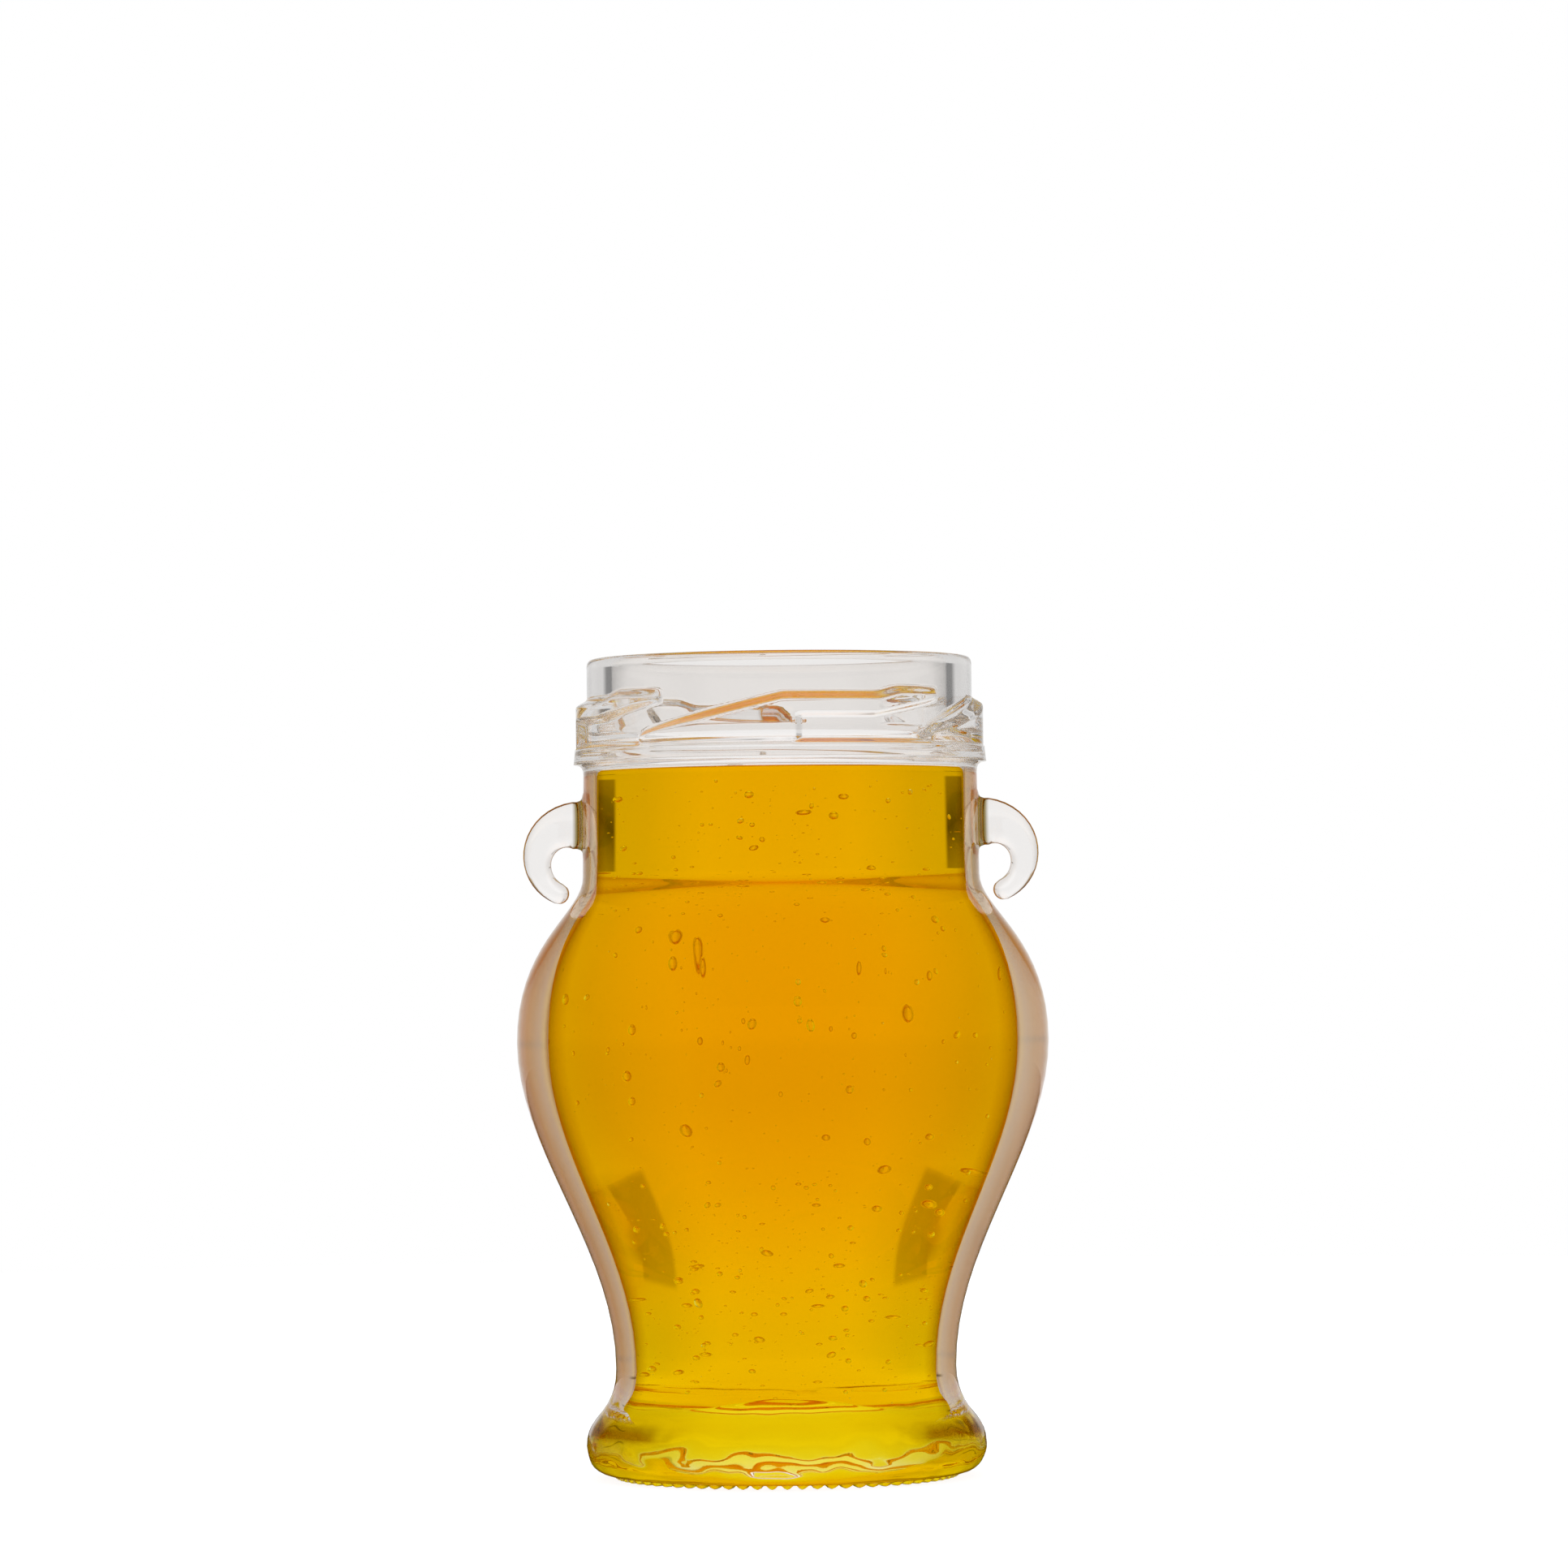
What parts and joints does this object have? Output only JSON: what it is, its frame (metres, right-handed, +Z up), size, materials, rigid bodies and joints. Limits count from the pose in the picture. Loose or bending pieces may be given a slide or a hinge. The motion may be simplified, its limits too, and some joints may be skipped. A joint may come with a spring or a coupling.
{
  "type": "glass jar",
  "caption": "Amphora-shaped clear glass jar with a lug mouth, two small hook handles and a flared foot, filled with honey.",
  "frame": {"origin": "middle of the base, on the plane that the jar stands on", "axes": "+Z up along the jar's axis, +X towards one handle, -Y towards the front"},
  "size_m": [0.0688, 0.0688, 0.1057],
  "materials": {
    "clear_glass": "smooth moulded clear glass",
    "honey": "clear golden honey with small air bubbles"
  },
  "bodies": {
    "root": {"glass_jar": "clear_glass", "honey_fill": "honey"}
  },
  "joints": []
}
